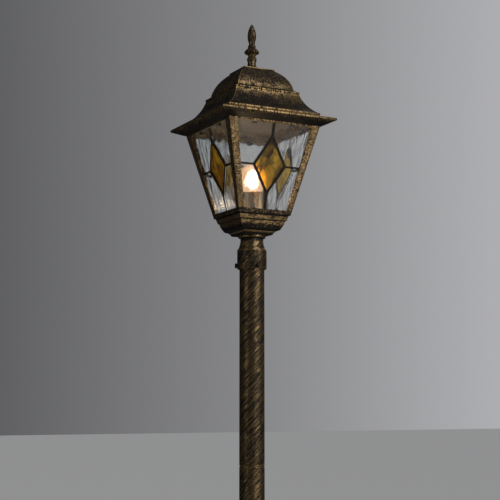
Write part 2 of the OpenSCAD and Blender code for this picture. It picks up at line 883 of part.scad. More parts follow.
function roof_outside() = concat(
    [[skirt_half, cage_top_z], [rim_half_w - 0.6, rim_z - 0.2], [rim_half_w, rim_z + 0.5]],
    [[rim_half_w, rim_z + rim_t - 1], [rim_half_w - 0.8, rim_z + rim_t], [bead_half + 1, eave_top_z - 0.4]],
    arc([bead_half - 0.4, eave_top_z], [bead_half - 0.6, bead_top_z], 0.7),
    arc([bead_half - 1.6, bead_top_z + 0.2], [ledge_half - 0.7, ledge_z], flare_bulge),
    [[ledge_half, ledge_z + 0.6], [ledge_half, ledge_z + ledge_t - 0.6],
        [ledge_half - 0.8, ledge_z + ledge_t]],
    arc([dome_half, dome_z], [cap_half, dome_top_z], dome_bulge));

function roof_inside() = concat(
    [[roof_bore_half, cage_top_z - eps], [roof_bore_half, band_z + move_gap],
        [cage_top_half - band_wall, band_z + move_gap], [cage_top_half - band_wall, eave_top_z]],
    arc([bead_half - 2 - roof_wall, bead_top_z - 1], [ledge_half - 0.7 - roof_wall, ledge_z - 1],
        flare_bulge),
    [[ledge_half - 0.6 - roof_wall, ledge_z + ledge_t - roof_wall],
        [dome_half - roof_wall, dome_z - roof_wall + 0.5]],
    arc([dome_half - roof_wall, dome_z], [cap_half - 1.6, dome_top_z - roof_wall], dome_bulge));

roof_screw_z = cage_top_z + 3.6;
roof_screw_r = 2;
roof_head_r = 3;
roof_head_x = cage_top_half + 8;

module roof_shell() {
    color("#4b3b28") difference() {
        square_moulding(roof_outside());
        square_moulding(roof_inside());
        cylinder(h = 2 * dome_top_z, d = stud_d + 2 * seat_gap);
        for (a = [0, 180]) radial(a, roof_screw_z) {
            cylinder(h = 2 * rim_half_w, r = roof_screw_r + run_gap);
            translate([0, 0, roof_head_x]) cylinder(h = rim_half_w, r = roof_head_r + 0.4);
        }
    }
}

// A square plate with a rounded edge between the dome and the finial
module cap_plate() {
    color("#5a4629") translate([0, 0, dome_top_z]) difference() {
        square_moulding([[cap_half - 0.3, 0], [cap_half + 0.3, 0.6], [cap_half + 0.3, cap_t - 0.6],
            [cap_half - 0.5, cap_t]]);
        translate([0, 0, -eps]) cylinder(h = cap_t + 2 * eps, d = stud_d + 2 * seat_gap);
    }
}

module roof_screw(angle) {
    tip = cage_top_half + 0.3;
    seat = roof_head_x + 0.3;
    color("#8a6a36") radial(angle, roof_screw_z) difference() {
        union() {
            translate([0, 0, tip]) cylinder(h = seat - tip, r = roof_screw_r);
            translate([0, 0, seat]) cylinder(h = 2.4, r = roof_head_r);
        }
        translate([-roof_head_r - eps, -0.5, seat + 1.5]) cube([2 * (roof_head_r + eps), 1, 1.5]);
    }
}

module roof_screw_left() {
    roof_screw(180);
}

module roof_screw_right() {
    roof_screw(0);
}

// ---------------------------------------------------------------- finial

finial_nut_h = 5;
stud_in = 14;
stud_low_z = dome_top_z - roof_wall - finial_nut_h - 3;

module finial_stud() {
    color("#a8a8a8") translate([0, 0, stud_low_z]) {
        cylinder(h = finial_z + stud_in - stud_low_z, d = stud_d);
    }
}

module finial_nut() {
    color("#a8a8a8") translate([0, 0, dome_top_z - roof_wall - finial_nut_h]) difference() {
        cylinder(h = finial_nut_h, r = stud_d * 0.95, $fn = 6);
        translate([0, 0, -eps]) cylinder(h = finial_nut_h + 2 * eps, d = stud_d + seat_gap);
    }
}

// Height of a level of the finial, given as a share of its height
function finial_at(share) = finial_z + finial_h * share;

// Turned finial, from the foot up: flared foot, bead, disc with a sloping top, collar and spearhead
module finial() {
    r = finial_d / 2;
    color("#5b4424") difference() {
        turned(concat(
            [[9.3, finial_at(0.004)], [9.5, finial_at(0.028)]],
            arc([9, finial_at(0.049)], [6.2, finial_at(0.1875)], -0.8),
            arc([6.4, finial_at(0.208)], [5.6, finial_at(0.303)], 1.2),
            arc([5.3, finial_at(0.3125)], [r - 0.3, finial_at(0.381)], -1.2),
            arc([r - 0.3, finial_at(0.384)], [r - 1, finial_at(0.431)], 0.7),
            arc([r - 2, finial_at(0.453)], [6.2, finial_at(0.492)], -0.5),
            arc([5.2, finial_at(0.5)], [5.2, finial_at(0.55)], 0.6),
            arc([4.2, finial_at(0.5625)], [5.9, finial_at(0.66)], -0.25),
            arc([6.05, finial_at(0.681)], [0.5, finial_at(1)], 2.3)));
        translate([0, 0, finial_z - eps]) cylinder(h = stud_in + 0.8 + eps, r = stud_d / 2 + run_gap);
    }
}

// ---------------------------------------------------------------- output

base_bell();
earth_terminal();
terminal_block();
terminal_sleeves();
terminal_screw();
foot_tube();
lower_coupler();
middle_tube();
upper_coupler();
upper_tube();
post_collar();
collar_screw_front();
collar_screw_right();
collar_screw_left();
nipple();
nipple_washer();
nipple_nut_lower();
nipple_nut_upper();
cup();
cage_frame();
floor_plate();
cage_screws();
lampholder_body();
lampholder_shell();
contact_spring();
clear_glass_front();
clear_glass_right();
clear_glass_back();
clear_glass_left();
amber_diamond_front();
amber_diamond_right();
amber_diamond_back();
amber_diamond_left();
came_front();
came_right();
came_back();
came_left();
pane_clips();
clip_screws();
bulb_envelope();
bulb_cap();
bulb_contact();
bulb_stem();
bulb_capsule();
roof_shell();
cap_plate();
finial_stud();
finial_nut();
finial();
roof_screw_left();
roof_screw_right();
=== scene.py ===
import math

import bpy
from mathutils import Matrix, Vector, noise


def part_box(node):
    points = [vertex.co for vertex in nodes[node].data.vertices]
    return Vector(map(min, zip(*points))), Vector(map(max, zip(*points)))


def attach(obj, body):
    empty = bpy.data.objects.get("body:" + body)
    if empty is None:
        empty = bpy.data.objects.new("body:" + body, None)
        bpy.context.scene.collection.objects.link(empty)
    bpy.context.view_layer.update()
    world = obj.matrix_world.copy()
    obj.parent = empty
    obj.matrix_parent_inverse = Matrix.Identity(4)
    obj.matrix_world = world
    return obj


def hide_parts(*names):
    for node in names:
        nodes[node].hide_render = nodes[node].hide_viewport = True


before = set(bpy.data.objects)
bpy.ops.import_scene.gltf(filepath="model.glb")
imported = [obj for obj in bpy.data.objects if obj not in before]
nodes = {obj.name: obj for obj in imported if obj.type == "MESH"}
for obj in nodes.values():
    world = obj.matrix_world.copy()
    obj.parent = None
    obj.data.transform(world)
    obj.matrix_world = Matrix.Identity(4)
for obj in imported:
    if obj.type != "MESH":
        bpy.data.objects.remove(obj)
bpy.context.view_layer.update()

MM = 0.001
SIDES = ("front", "right", "back", "left")  # each a quarter turn further, counter-clockwise from above

# ------------------------------------------------------------------ camera, stage and lamps

CAMERA_DISTANCE = 1.6866
CAMERA_HEIGHT = 0.6472
CAMERA_AZIMUTH = math.radians(-27.36)
CAMERA_PITCH = math.radians(7.275)
CAMERA_TURN = math.radians(0.093)
CAMERA_LENS = 84.6
AIM_HEIGHT = 0.8  # where the lamps point, on the post axis

# the backdrop is lit from the right: (sine of the angle to the right of the camera's axis, grey)
BACKDROP = ((-1, 0.28), (-0.55, 0.2), (-0.24, 0.1), (0, 0.24), (0.22, 0.44), (0.5, 0.47), (1, 0.48))
BACKDROP_TINT = (0.985, 0.99, 1.03)
GAIN_THROUGH_GLASS = 0.47  # makes up for what the tinted panes take away
ROOM_GREY = (0.02, 0.0205, 0.022, 1)

FLOOR_SIZE = 40
FLOOR_LEVEL = -0.5 * MM  # just under the foot
FLOOR_COLOUR = (0.5, 0.5, 0.505, 1)
FLOOR_GLOW = 0.27
FLOOR_GLOW_COLOUR = (0.985, 0.99, 1.0, 1)

# name, degrees to the right of the camera, height, distance, size, power, colour
SOFTBOXES = (
    ("softbox_right", 52, 1.66, 1.5, (1.4, 1.9), 10, (1, 0.96, 0.9)),
    ("reflector_right", 52, 0.4, 1.4, (1.4, 0.8), 1.3, (1, 0.94, 0.84)),
    ("softbox_left", -52, 1.1, 1.5, (0.9, 1.9), 1.5, (1, 0.97, 0.9)),
    ("softbox_behind", 160, 1.7, 1.6, (1.0, 1.4), 2.5, (1, 0.98, 0.95)),
    ("softbox_above", 90, 3.4, 0.3, (2.4, 2.4), 1.9, (1, 0.98, 0.95)),
)
NOT_SEEN_THROUGH_PANES = ("softbox_behind",)  # the ripples would draw it out into white streaks


def round_the_lamp(azimuth, distance, height):
    """A place at that azimuth round the post axis; azimuth 0 is in front of the lamp."""
    return Vector((math.sin(azimuth) * distance, -math.cos(azimuth) * distance, height))


def make_camera():
    """The photo's camera, fitted to the outline of the lantern."""
    data = bpy.data.cameras.new("camera")
    data.sensor_width = 36
    data.lens = CAMERA_LENS
    camera = bpy.data.objects.new("camera", data)
    bpy.context.scene.collection.objects.link(camera)
    camera.location = round_the_lamp(CAMERA_AZIMUTH, CAMERA_DISTANCE, CAMERA_HEIGHT)
    camera.rotation_euler = (math.pi / 2 + CAMERA_PITCH, 0, CAMERA_AZIMUTH + CAMERA_TURN)
    bpy.context.scene.camera = camera


def make_softbox(name, off_axis, height, distance, size, energy, colour):
    """A rectangular lamp that faces the post, off_axis degrees to the right of the camera."""
    data = bpy.data.lights.new(name, "AREA")
    data.shape = "RECTANGLE"
    data.size, data.size_y = size
    data.energy = energy
    data.color = colour
    lamp = bpy.data.objects.new(name, data)
    bpy.context.scene.collection.objects.link(lamp)
    place = round_the_lamp(CAMERA_AZIMUTH + math.radians(off_axis), distance, height)
    lamp.location = place
    aim = Vector((0, 0, AIM_HEIGHT)) - place
    lamp.rotation_euler = aim.to_track_quat("-Z", "Y").to_euler()
    lamp.visible_camera = False
    lamp.visible_transmission = name not in NOT_SEEN_THROUGH_PANES


def make_room():
    """A dim room. Rays from the camera, and on through glass without a bounce, meet the backdrop instead."""
    world = bpy.data.worlds.new("room")
    world.use_nodes = True
    bpy.context.scene.world = world
    tree = world.node_tree
    tree.nodes.clear()
    direction = add_node(tree, "TexCoord").outputs["Generated"]
    rightwards = (math.cos(CAMERA_AZIMUTH), math.sin(CAMERA_AZIMUTH), 0)
    across = add_node(
        tree, "VectorMath", {0: direction, 1: rightwards}, operation="DOT_PRODUCT"
    ).outputs["Value"]
    share = add_node(tree, "MapRange", {"Value": across, "From Min": -1, "From Max": 1}).outputs[0]
    backdrop = add_node(tree, "ValToRGB", {"Fac": share})
    ramp = backdrop.color_ramp
    while len(ramp.elements) < len(BACKDROP):
        ramp.elements.new(0.5)
    for element, (place, grey) in zip(ramp.elements, BACKDROP):
        element.position = (place + 1) / 2
        element.color = [grey * tint for tint in BACKDROP_TINT] + [1]
    path = add_node(tree, "LightPath").outputs
    bounces = add_node(tree, "Math", {0: path["Glossy Depth"], 1: path["Diffuse Depth"]}, operation="ADD")
    straight = add_node(tree, "Math", {0: bounces.outputs[0], 1: 0.5}, operation="LESS_THAN")
    through = add_node(
        tree, "Math", {0: path["Is Transmission Ray"], 1: straight.outputs[0]}, operation="MULTIPLY"
    ).outputs[0]
    seen = add_node(tree, "Math", {0: path["Is Camera Ray"], 1: through}, operation="MAXIMUM")
    colour = add_node(
        tree,
        "Mix",
        {"A": ROOM_GREY, "B": backdrop.outputs["Color"], "Factor": seen.outputs[0]},
        data_type="RGBA",
    )
    strength = add_node(
        tree, "Math", {0: through, 1: GAIN_THROUGH_GLASS, 2: 1}, operation="MULTIPLY_ADD"
    )
    light = add_node(tree, "Background", {"Color": colour.outputs["Result"], "Strength": strength.outputs[0]})
    add_node(tree, "OutputWorld", {"Surface": light.outputs[0]})


def make_floor():
    """A pale floor that shows even where no lamp reaches, and still takes the lantern's shadow."""
    bpy.ops.mesh.primitive_plane_add(size=FLOOR_SIZE, location=(0, 0, FLOOR_LEVEL))
    floor = bpy.context.object
    floor.name = "floor"
    m = Shading("pale_floor")
    m.shader.inputs["Base Color"].default_value = FLOOR_COLOUR
    m.shader.inputs["Roughness"].default_value = 0.8
    path = m.add("LightPath").outputs
    seen = m.add("Math", {0: path["Is Camera Ray"], 1: path["Is Transmission Ray"]}, operation="MAXIMUM")
    strength = m.add("Math", {0: seen.outputs[0], 1: FLOOR_GLOW}, operation="MULTIPLY")
    glow = m.add("Emission", {"Color": FLOOR_GLOW_COLOUR, "Strength": strength.outputs[0]})
    both = m.add("AddShader", {0: m.shader.outputs[0], 1: glow.outputs[0]})
    m.tree.links.new(both.outputs[0], m.out.inputs["Surface"])
    floor.data.materials.append(m.data)


# ------------------------------------------------------------------ materials


class Shading:
    """A material with one Principled shader, and short calls to add and join its nodes."""

    def __init__(self, name):
        self.data = bpy.data.materials.new(name)
        self.data.use_nodes = True
        self.tree = self.data.node_tree
        self.tree.nodes.clear()
        self.shader = self.add("BsdfPrincipled")
        self.out = self.add("OutputMaterial", {"Surface": self.shader.outputs[0]})

    def add(self, kind, inputs=None, **properties):
        return add_node(self.tree, kind, inputs, **properties)

    def feed(self, socket, value):
        join(self.tree, value, self.shader.inputs[socket])


def join(tree, value, socket):
    if isinstance(value, bpy.types.NodeSocket):
        tree.links.new(value, socket)
    else:
        socket.default_value = value


def add_node(tree, kind, inputs=None, **properties):
    made = tree.nodes.new("ShaderNode" + kind)
    for key, value in properties.items():
        setattr(made, key, value)
    for key, value in (inputs or {}).items():
        join(tree, value, made.inputs[key])
    return made


def new_group(name, inputs, outputs):
    """An empty node group with named sockets.

    Inputs are (name, kind, first value) and outputs are (name, kind)."""
    tree = bpy.data.node_groups.new(name, "ShaderNodeTree")
    for label, kind, value in inputs:
        socket = tree.interface.new_socket(label, in_out="INPUT", socket_type="NodeSocket" + kind)
        if value is not None:
            socket.default_value = value
    for label, kind in outputs:
        tree.interface.new_socket(label, in_out="OUTPUT", socket_type="NodeSocket" + kind)
    given = tree.nodes.new("NodeGroupInput").outputs
    return tree, given, tree.nodes.new("NodeGroupOutput").inputs


GRAIN_SHARE = 0.28
PATCH_SHARE = 0.2


def dry_brush_group():
    """Gold dragged over a dark ground in strokes, broken up by the casting's grain and by larger patches."""
    tree, given, out = new_group(
        "dry_brushed_gold",
        [
            ("Place", "Vector", None),
            ("Strokes", "Vector", None),
            ("Coverage", "Float", 0.0),
            ("Patches", "Float", PATCH_SHARE),
        ],
        [("Gold", "Float"), ("Height", "Float"), ("Tarnish", "Float")],
    )
    stroke = add_node(
        tree, "TexNoise", {"Vector": given["Strokes"], "Scale": 1.0, "Detail": 2.0, "Roughness": 0.6}
    )
    grain = add_node(tree, "TexNoise", {"Vector": given["Place"], "Scale": 0.55, "Detail": 3.0})
    patch = add_node(
        tree, "TexNoise", {"Vector": given["Place"], "Scale": 0.08, "Detail": 3.0, "Roughness": 0.55}
    )

    stroke_share = add_node(tree, "Math", {0: 1 - GRAIN_SHARE, 1: given["Patches"]}, operation="SUBTRACT")

    def weighted(parts):
        total = None
        for value, weight in parts:
            part = add_node(tree, "Math", {0: value, 1: weight}, operation="MULTIPLY")
            if total is not None:
                part = add_node(tree, "Math", {0: total, 1: part.outputs[0]}, operation="ADD")
            total = part.outputs[0]
        return total

    rubbed = weighted(
        [
            (stroke.outputs["Fac"], stroke_share.outputs[0]),
            (grain.outputs["Fac"], GRAIN_SHARE),
            (patch.outputs["Fac"], given["Patches"]),
            (given["Coverage"], 1.0),
        ]
    )
    gold = add_node(
        tree,
        "MapRange",
        {"Value": rubbed, "From Min": 0.47, "From Max": 0.62},
        interpolation_type="SMOOTHSTEP",
    )
    height = weighted([(stroke.outputs["Fac"], 0.6), (grain.outputs["Fac"], 0.4)])
    tree.links.new(gold.outputs[0], out["Gold"])
    tree.links.new(height, out["Height"])
    tree.links.new(patch.outputs["Fac"], out["Tarnish"])
    return tree


DRY_BRUSH = dry_brush_group()
BLACK_GROUND = (0.013, 0.0105, 0.0085, 1)
GOLD_BRIGHT = (0.64, 0.45, 0.22, 1)
GOLD_DULL = (0.35, 0.23, 0.105, 1)
PAINT_ROUGHNESS = 0.5


def by_level(m, levels):
    """A value that follows the height: levels is a list of (millimetres above the floor, value)."""
    low, high = levels[0][0], levels[-1][0]
    height = m.add("SeparateXYZ", {0: m.add("TexCoord").outputs["Object"]}).outputs["Z"]
    share = m.add("MapRange", {"Value": height, "From Min": low * MM, "From Max": high * MM}).outputs[0]
    shades = m.add("ValToRGB", {"Fac": share})
    ramp = shades.color_ramp
    while len(ramp.elements) < len(levels):
        ramp.elements.new(0.5)
    values = [value for level, value in levels]
    floor, top = min(values), max(values)
    for element, (level, value) in zip(ramp.elements, levels):
        element.position = (level - low) / (high - low)
        grey = (value - floor) / (top - floor)
        element.color = (grey, grey, grey, 1)
    return m.add("MapRange", {"Value": shades.outputs["Color"], "To Min": floor, "To Max": top}).outputs[0]


def on_hips(m, width_mm):
    """One along the mitred corners of a square casting, falling to nothing at width_mm from them."""
    place = m.add("SeparateXYZ", {0: m.add("TexCoord").outputs["Object"]})
    across = m.add("Math", {0: place.outputs["X"]}, operation="ABSOLUTE")
    along = m.add("Math", {0: place.outputs["Y"]}, operation="ABSOLUTE")
    apart = m.add("Math", {0: across.outputs[0], 1: along.outputs[0]}, operation="SUBTRACT")
    away = m.add("Math", {0: apart.outputs[0]}, operation="ABSOLUTE")
    mask = m.add(
        "MapRange", {"Value": away.outputs[0], "From Max": width_mm * MM, "To Min": 1, "To Max": 0}
    )
    return mask.outputs[0]


DASH_LENGTH_MM = 2
HIP_WIDTH_MM = 1.6


def dashes(m, levels):
    """Upright breaks in the gold of a horizontal moulding; levels gives their strength at each height."""
    place = m.add("TexCoord").outputs["Object"]
    per_metre = 1 / (DASH_LENGTH_MM * MM)
    columns = m.add("Mapping", {"Vector": place, "Scale": (per_metre, per_metre, 0)}).outputs[0]
    beads = m.add("TexNoise", {"Vector": columns, "Scale": 1.0, "Detail": 1.0}).outputs["Fac"]
    centred = m.add("Math", {0: beads, 1: 0.5}, operation="SUBTRACT").outputs[0]
    return m.add("Math", {0: centred, 1: by_level(m, levels)}, operation="MULTIPLY").outputs[0]


def aged_bronze(name, along, coverage, hips=0.0, turn=0.0, broken=None, patches=PATCH_SHARE):
    """Black paint with gold brushed over it.

    along squeezes the strokes per axis, turn winds them in radians per metre of height, coverage is
    one value or a list of (millimetres above the floor, value), hips adds gold on mitred corners,
    broken lists where a moulding's gold is broken into dashes, and patches is the part that large
    patches have in it."""
    m = Shading(name)
    place = m.add("TexCoord").outputs["Object"]
    wound = place
    if turn:
        height = m.add("SeparateXYZ", {0: place}).outputs["Z"]
        angle = m.add("Math", {0: height, 1: -turn}, operation="MULTIPLY").outputs[0]
        wound = m.add("VectorRotate", {"Vector": place, "Angle": angle}, rotation_type="Z_AXIS").outputs[0]
    in_mm = m.add("VectorMath", {0: place, "Scale": 1 / MM}, operation="SCALE").outputs[0]
    strokes = m.add("Mapping", {"Vector": wound, "Scale": [s / MM for s in along]}).outputs[0]
    brush = m.add("Group", node_tree=DRY_BRUSH)
    join(m.tree, in_mm, brush.inputs["Place"])
    join(m.tree, strokes, brush.inputs["Strokes"])
    rubbed = by_level(m, coverage) if isinstance(coverage, list) else coverage
    if hips:
        on_edge = m.add("Math", {0: on_hips(m, HIP_WIDTH_MM), 1: hips}, operation="MULTIPLY")
        rubbed = m.add("Math", {0: on_edge.outputs[0], 1: rubbed}, operation="ADD").outputs[0]
    if broken:
        rubbed = m.add("Math", {0: dashes(m, broken), 1: rubbed}, operation="ADD").outputs[0]
    join(m.tree, rubbed, brush.inputs["Coverage"])
    brush.inputs["Patches"].default_value = patches
    tarnish, gold = brush.outputs["Tarnish"], brush.outputs["Gold"]
    metal = m.add("Mix", {"A": GOLD_DULL, "B": GOLD_BRIGHT, "Factor": tarnish}, data_type="RGBA")
    tint = metal.outputs["Result"]
    colour = m.add("Mix", {"A": BLACK_GROUND, "B": tint, "Factor": gold}, data_type="RGBA")
    m.feed("Base Color", colour.outputs["Result"])
    m.feed("Metallic", m.add("Math", {0: gold, 1: 0.95}, operation="MULTIPLY").outputs[0])
    polish = m.add("MapRange", {"Value": tarnish, "To Min": 0.33, "To Max": 0.22}).outputs[0]
    rough = m.add("Mix", {"A": PAINT_ROUGHNESS, "B": polish, "Factor": gold}, data_type="FLOAT")
    m.feed("Roughness", rough.outputs["Result"])
    m.shader.inputs["Specular IOR Level"].default_value = 0.35
    bump = m.add("Bump", {"Height": brush.outputs["Height"], "Strength": 0.6, "Distance": 0.3 * MM})
    m.feed("Normal", bump.outputs[0])
    return m.data


SHEET_IOR = 1.5
BULB_IOR = 1.45


def let_light_through(m, colour):
    """Rays towards a lamp pass this glass and take its tint."""
    clear = m.add("BsdfTransparent", {"Color": colour})
    path = m.add("LightPath")
    mix = m.add("MixShader", {0: path.outputs["Is Shadow Ray"], 1: m.shader.outputs[0], 2: clear.outputs[0]})
    m.tree.links.new(mix.outputs[0], m.out.inputs["Surface"])


def make_glassy(m, roughness, ior):
    m.shader.inputs["Roughness"].default_value = roughness
    m.shader.inputs["IOR"].default_value = ior
    m.shader.inputs["Transmission Weight"].default_value = 1


def water_glass(name, tint, roughness, relief):
    """Clear sheet with a fine upright waviness; relief is the strength of that."""
    m = Shading(name)
    place = m.add("TexCoord").outputs["Object"]
    stretched = m.add("Mapping", {"Vector": place, "Scale": [1 / MM, 1 / MM, 0.35 / MM]}).outputs[0]
    fine = m.add("TexNoise", {"Vector": stretched, "Scale": 0.3, "Detail": 2.0}).outputs["Fac"]
    bump = m.add("Bump", {"Height": fine, "Strength": relief, "Distance": 0.5 * MM})
    m.shader.inputs["Base Color"].default_value = tint
    make_glassy(m, roughness, SHEET_IOR)
    m.feed("Normal", bump.outputs[0])
    let_light_through(m, tint)
    return m.data


def amber_glass(name, clean, smoky):
    """Streaky amber sheet: clean colour with wisps of a smoky one."""
    m = Shading(name)
    place = m.add("TexCoord").outputs["Object"]
    stretched = m.add("Mapping", {"Vector": place, "Scale": [1 / MM, 1 / MM, 0.45 / MM]}).outputs[0]
    wisps = m.add(
        "TexNoise", {"Vector": stretched, "Scale": 0.075, "Detail": 3.0, "Distortion": 1.4}
    ).outputs["Fac"]
    smoke = m.add(
        "MapRange", {"Value": wisps, "From Min": 0.4, "From Max": 0.6}, interpolation_type="SMOOTHSTEP"
    ).outputs[0]
    colour = m.add("Mix", {"A": clean, "B": smoky, "Factor": smoke}, data_type="RGBA").outputs["Result"]
    fine = m.add("TexNoise", {"Vector": stretched, "Scale": 0.3, "Detail": 2.0}).outputs["Fac"]
    bump = m.add("Bump", {"Height": fine, "Strength": 0.35, "Distance": 0.4 * MM})
    m.feed("Base Color", colour)
    make_glassy(m, 0.21, SHEET_IOR)
    m.feed("Normal", bump.outputs[0])
    let_light_through(m, colour)
    return m.data


def grainy(name, low, high, roughness, metallic=0.0, size=3.0, stretch=(1, 1, 1), bump_mm=0.05):
    """A plain material with two shades, uneven gloss and a fine grain of about size millimetres."""
    m = Shading(name)
    place = m.add("TexCoord").outputs["Object"]
    scaled = m.add("Mapping", {"Vector": place, "Scale": [s / (size * MM) for s in stretch]}).outputs[0]
    grain = m.add(
        "TexNoise", {"Vector": scaled, "Scale": 1.0, "Detail": 4.0, "Roughness": 0.6}
    ).outputs["Fac"]
    sharper = m.add("MapRange", {"Value": grain, "From Min": 0.35, "From Max": 0.65})
    colour = m.add("Mix", {"A": low, "B": high, "Factor": sharper.outputs[0]}, data_type="RGBA")
    m.feed("Base Color", colour.outputs["Result"])
    rough = m.add("MapRange", {"Value": grain, "To Min": roughness * 0.75, "To Max": roughness * 1.25})
    m.feed("Roughness", rough.outputs[0])
    m.shader.inputs["Metallic"].default_value = metallic
    m.feed("Normal", m.add("Bump", {"Height": grain, "Strength": 0.5, "Distance": bump_mm * MM}).outputs[0])
    return m.data


PEACH = (1.0, 0.72, 0.47, 1)
DEEP_PEACH = (0.75, 0.4, 0.2, 1)


def frosted_envelope(glow_place, glow_reach):
    """Thin frosted glass that glows peach where the light source is near."""
    m = Shading("bulb_glass")
    place = m.add("TexCoord").outputs["Object"]
    away = m.add("VectorMath", {0: place, 1: glow_place}, operation="DISTANCE").outputs["Value"]
    fading = m.add(
        "MapRange",
        {"Value": away, "From Min": glow_reach * 0.45, "From Max": glow_reach},
        interpolation_type="SMOOTHSTEP",
    ).outputs[0]
    glow = m.add("Mix", {"A": PEACH, "B": DEEP_PEACH, "Factor": fading}, data_type="RGBA")
    m.shader.inputs["Base Color"].default_value = (1, 0.95, 0.9, 1)
    make_glassy(m, 0.2, BULB_IOR)
    m.feed("Emission Color", glow.outputs["Result"])
    m.shader.inputs["Emission Strength"].default_value = 0.16
    let_light_through(m, (1, 0.97, 0.94, 1))
    return m.data


def lit_capsule():
    """The light source itself, bright enough to clip to a warm white."""
    m = Shading("lit_capsule")
    m.shader.inputs["Base Color"].default_value = (1, 0.95, 0.85, 1)
    m.shader.inputs["Emission Color"].default_value = (1.0, 0.79, 0.53, 1)
    m.shader.inputs["Emission Strength"].default_value = 27
    return m.data


# ------------------------------------------------------------------ modelled pieces

# edges flatter than these angles, in degrees, are shaded smooth
SMOOTH_CAST = 32
SMOOTH_GLASS = 40
SMOOTH_ROUND = 60

MERGE_DISTANCE = 0.002 * MM
FLAT_ANGLE = math.radians(0.5)
BEVEL_FROM_ANGLE = math.radians(28)

THREAD_STEPS = 8  # rings of vertices in one turn
WALL_TOLERANCE_MM = 0.15

DROP_SCALE = (0.8, 0.8, 0.92)

PANE_CELL = 2.2 * MM
# per pane: depth of the broad ripples, and the fine ripples' share of it
RIPPLES = {
    "front": (0.25 * MM, 0.1),
    "right": (0.4 * MM, 0.3),
    "back": (0.4 * MM, 0.4),
    "left": (0.4 * MM, 0.45),
}
# ripple lengths in millimetres across and up the pane, and what is added to the pane's seed
BROAD_RIPPLE = (5.0, 17.0, 0)
FINE_RIPPLE = (2.6, 8.0, 9)
BACK_RIPPLE = (7.0, 13.0, 20)
MEAN_DEPTH = 0.6  # of a rippled face under its CAD face, as a share of the ripples' depth

# limits for the inner faces of a casting: share of the normal that points away from the post axis, and its z
LOOKS_INWARDS = -0.1
LOOKS_DOWN = -0.9


def only(piece):
    bpy.ops.object.select_all(action="DESELECT")
    piece.select_set(True)
    bpy.context.view_layer.objects.active = piece


def copy_of(node_name, piece_name):
    """A copy of a CAD node with its loose triangles merged, to be worked on."""
    piece = bpy.data.objects.new(piece_name, nodes[node_name].data.copy())
    bpy.context.scene.collection.objects.link(piece)
    piece.data.materials.clear()
    only(piece)
    bpy.ops.object.mode_set(mode="EDIT")
    bpy.ops.mesh.select_all(action="SELECT")
    bpy.ops.mesh.customdata_custom_splitnormals_clear()
    bpy.ops.mesh.remove_doubles(threshold=MERGE_DISTANCE)
    bpy.ops.mesh.dissolve_limited(angle_limit=FLAT_ANGLE)
    bpy.ops.object.mode_set(mode="OBJECT")
    return piece


def finish_piece(piece, body, slot, material, *stands_for, angle=SMOOTH_CAST):
    """Smooth shading, the material, and what the piece rides on and stands for."""
    only(piece)
    bpy.ops.object.shade_smooth_by_angle(angle=math.radians(angle))
    piece.data.materials.append(material)
    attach(piece, body)
    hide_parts(*stands_for)


def soften(node_name, body, material, width_mm=0.45, slot="aged_bronze"):
    """A CAD node with its edges rounded as the real one's are."""
    piece = copy_of(node_name, node_name + "_eased")
    edges = piece.modifiers.new("rounded", "BEVEL")
    edges.width = width_mm * MM
    edges.segments = 2
    edges.limit_method = "ANGLE"
    edges.angle_limit = BEVEL_FROM_ANGLE
    only(piece)
    bpy.ops.object.modifier_apply(modifier=edges.name)
    finish_piece(piece, body, slot, material, node_name)
    return piece


def cut_thread(node_name, body, slot, material, wall_mm, pitch_mm, depth_mm, low_mm=None, high_mm=None):
    """Rolls an upright screw thread into the round wall of radius wall_mm.

    It goes depth_mm deep towards the axis, and from low_mm to high_mm above the floor or, without
    those, over the whole height of the node."""
    piece = copy_of(node_name, node_name + "_threaded")
    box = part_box(node_name)
    low = box[0].z / MM if low_mm is None else low_mm
    high = box[1].z / MM if high_mm is None else high_mm
    only(piece)
    bpy.ops.object.mode_set(mode="EDIT")
    cuts = int((high - low) / pitch_mm * THREAD_STEPS)
    for i in range(cuts + 1):
        level = (low + (high - low) * i / cuts) * MM
        bpy.ops.mesh.select_all(action="SELECT")
        bpy.ops.mesh.bisect(plane_co=(0, 0, level), plane_no=(0, 0, 1))
    bpy.ops.object.mode_set(mode="OBJECT")
    for v in piece.data.vertices:
        radius, height = v.co.xy.length / MM, v.co.z / MM
        if abs(radius - wall_mm) > WALL_TOLERANCE_MM or not low < height < high:
            continue
        turns = height / pitch_mm - math.atan2(v.co.y, v.co.x) / math.tau
        wave = 0.5 - 0.5 * math.cos(math.tau * turns)
        runout = min(1, (height - low) / pitch_mm, (high - height) / pitch_mm)
        v.co.xy *= 1 - depth_mm * wave * runout / radius
    finish_piece(piece, body, slot, material, node_name, angle=SMOOTH_ROUND)


def glowing_drop(node_name, body, slot, material):
    """The bright inner light source, a little slimmer than its CAD solid."""
    piece = copy_of(node_name, node_name + "_glow")
    foot = Vector((0, 0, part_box(node_name)[0].z))
    only(piece)
    bpy.ops.object.mode_set(mode="EDIT")
    bpy.ops.mesh.select_all(action="SELECT")
    bpy.ops.transform.resize(value=DROP_SCALE, center_override=foot)
    bpy.ops.object.mode_set(mode="OBJECT")
    finish_piece(piece, body, slot, material, node_name, angle=SMOOTH_ROUND)


def face_axes(side):
    """Across, up and outward directions of the glass on one side, turned from the front CAD pane's."""
    faces = nodes["clear_glass_front"].data.polygons
    outward = min((face.normal for face in faces), key=lambda normal: normal.y).copy()
    across = Vector((1, 0, 0))
    up = outward.cross(across)
    spin = Matrix.Rotation(SIDES.index(side) * math.pi / 2, 3, "Z")
    return spin @ across, spin @ up, spin @ outward


def ripple_at(across_mm, up_mm, ripple, seed):
    length_across, length_up, seed_shift = ripple
    return noise.noise((across_mm / length_across, up_mm / length_up, seed + seed_shift))


